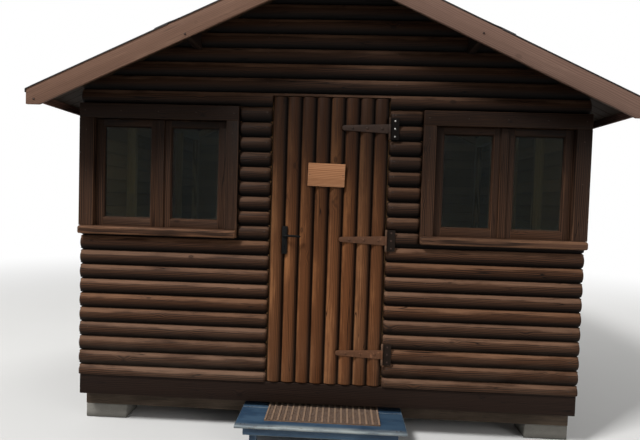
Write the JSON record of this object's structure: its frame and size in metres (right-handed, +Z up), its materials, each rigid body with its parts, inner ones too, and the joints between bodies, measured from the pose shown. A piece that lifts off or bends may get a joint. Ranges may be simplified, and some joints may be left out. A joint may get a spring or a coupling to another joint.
{
  "type": "wooden market hut",
  "caption": "Gabled timber market hut clad in half-round log boards, with corner windows, a T-hinged door that opens outward, a felt roof and a low entrance step.",
  "frame": {"origin": "on the ground under the middle of the hut, at the middle of the underside of the centre foundation block", "axes": "+Z up, -Y towards the front wall with the door, +X along the front wall to the hinge side of the door"},
  "size_m": [3.8882, 3.1831, 3.1815],
  "materials": {
    "concrete": "rough grey concrete",
    "frame_wood_x": "sawn softwood",
    "frame_wood_y": "sawn softwood",
    "frame_wood_z": "sawn softwood",
    "floor_wood": "worn floor boards",
    "deck_wood": "brown sawn boards",
    "roof_timber_stain": "dark brown stain",
    "bearer_wood": "weathered softwood",
    "log_stain_x": "dark brown stain, weathered",
    "log_stain_y": "dark brown stain, weathered",
    "door_stain": "dark brown stain, weathered",
    "door_back_stain": "brown stain",
    "trim_stain_x": "dark brown stain, weathered",
    "trim_stain_z": "dark brown stain, weathered",
    "sill_stain": "dark brown stain, weathered",
    "barge_stain": "faded mauve brown stain",
    "fascia_stain": "dark brown stain",
    "felt": "mineral surfaced bitumen felt",
    "window_glass": "clear glass",
    "hinge_paint": "iron stained over with the door",
    "black_iron": "black lacquered iron",
    "sign_wood": "light oiled wood",
    "step_paint": "worn blue grey paint",
    "mat_fibre": "ribbed brown fibre on rubber"
  },
  "bodies": {
    "hut": {"foundation_blocks": "concrete", "floor_bearers": "bearer_wood", "base_sills": "sill_stain", "floor_joists": "frame_wood_y", "floor_boards": "floor_wood", "front_wall_left": "log_stain_x", "front_wall_right": "log_stain_x", "front_piers": "log_stain_x", "front_gable": "log_stain_x", "left_wall": "log_stain_y", "right_wall": "log_stain_y", "back_wall": "log_stain_x", "corner_posts": "frame_wood_z", "opening_posts": "frame_wood_z", "wall_studs": "frame_wood_z", "front_rails": "frame_wood_x", "wall_plates": "frame_wood_y", "gable_rails": "frame_wood_x", "roof_purlins": "roof_timber_stain", "roof_deck_left": "deck_wood", "roof_deck_right": "deck_wood", "roof_felt_left": "felt", "roof_felt_right": "felt", "ridge_cap": "felt", "barge_boards_front": "barge_stain", "barge_boards_back": "barge_stain", "eave_fascias": "fascia_stain", "window_heads": "trim_stain_x", "window_sills": "trim_stain_x", "window_jambs": "trim_stain_z", "sash_stiles": "trim_stain_z", "sash_rails": "trim_stain_x", "window_cover_strips": "trim_stain_z", "window_glass": "window_glass", "door_stops": "frame_wood_z", "hinge_leaves": "black_iron", "step_top": "step_paint", "step_frame": "step_paint", "step_mat": "mat_fibre"},
    "door": {"door_boards": "door_stain", "door_ledges": "door_back_stain", "hinge_straps": "hinge_paint", "door_handle": "black_iron", "sign_plate": "sign_wood"}
  },
  "joints": [
    {"name": "door_hinge", "type": "hinge", "parent": "hut", "child": "door", "pos_m": [0.3975, -1.3075, 1.362], "axis": [0, 0, 1], "range_deg": [0, 165]}
  ]
}
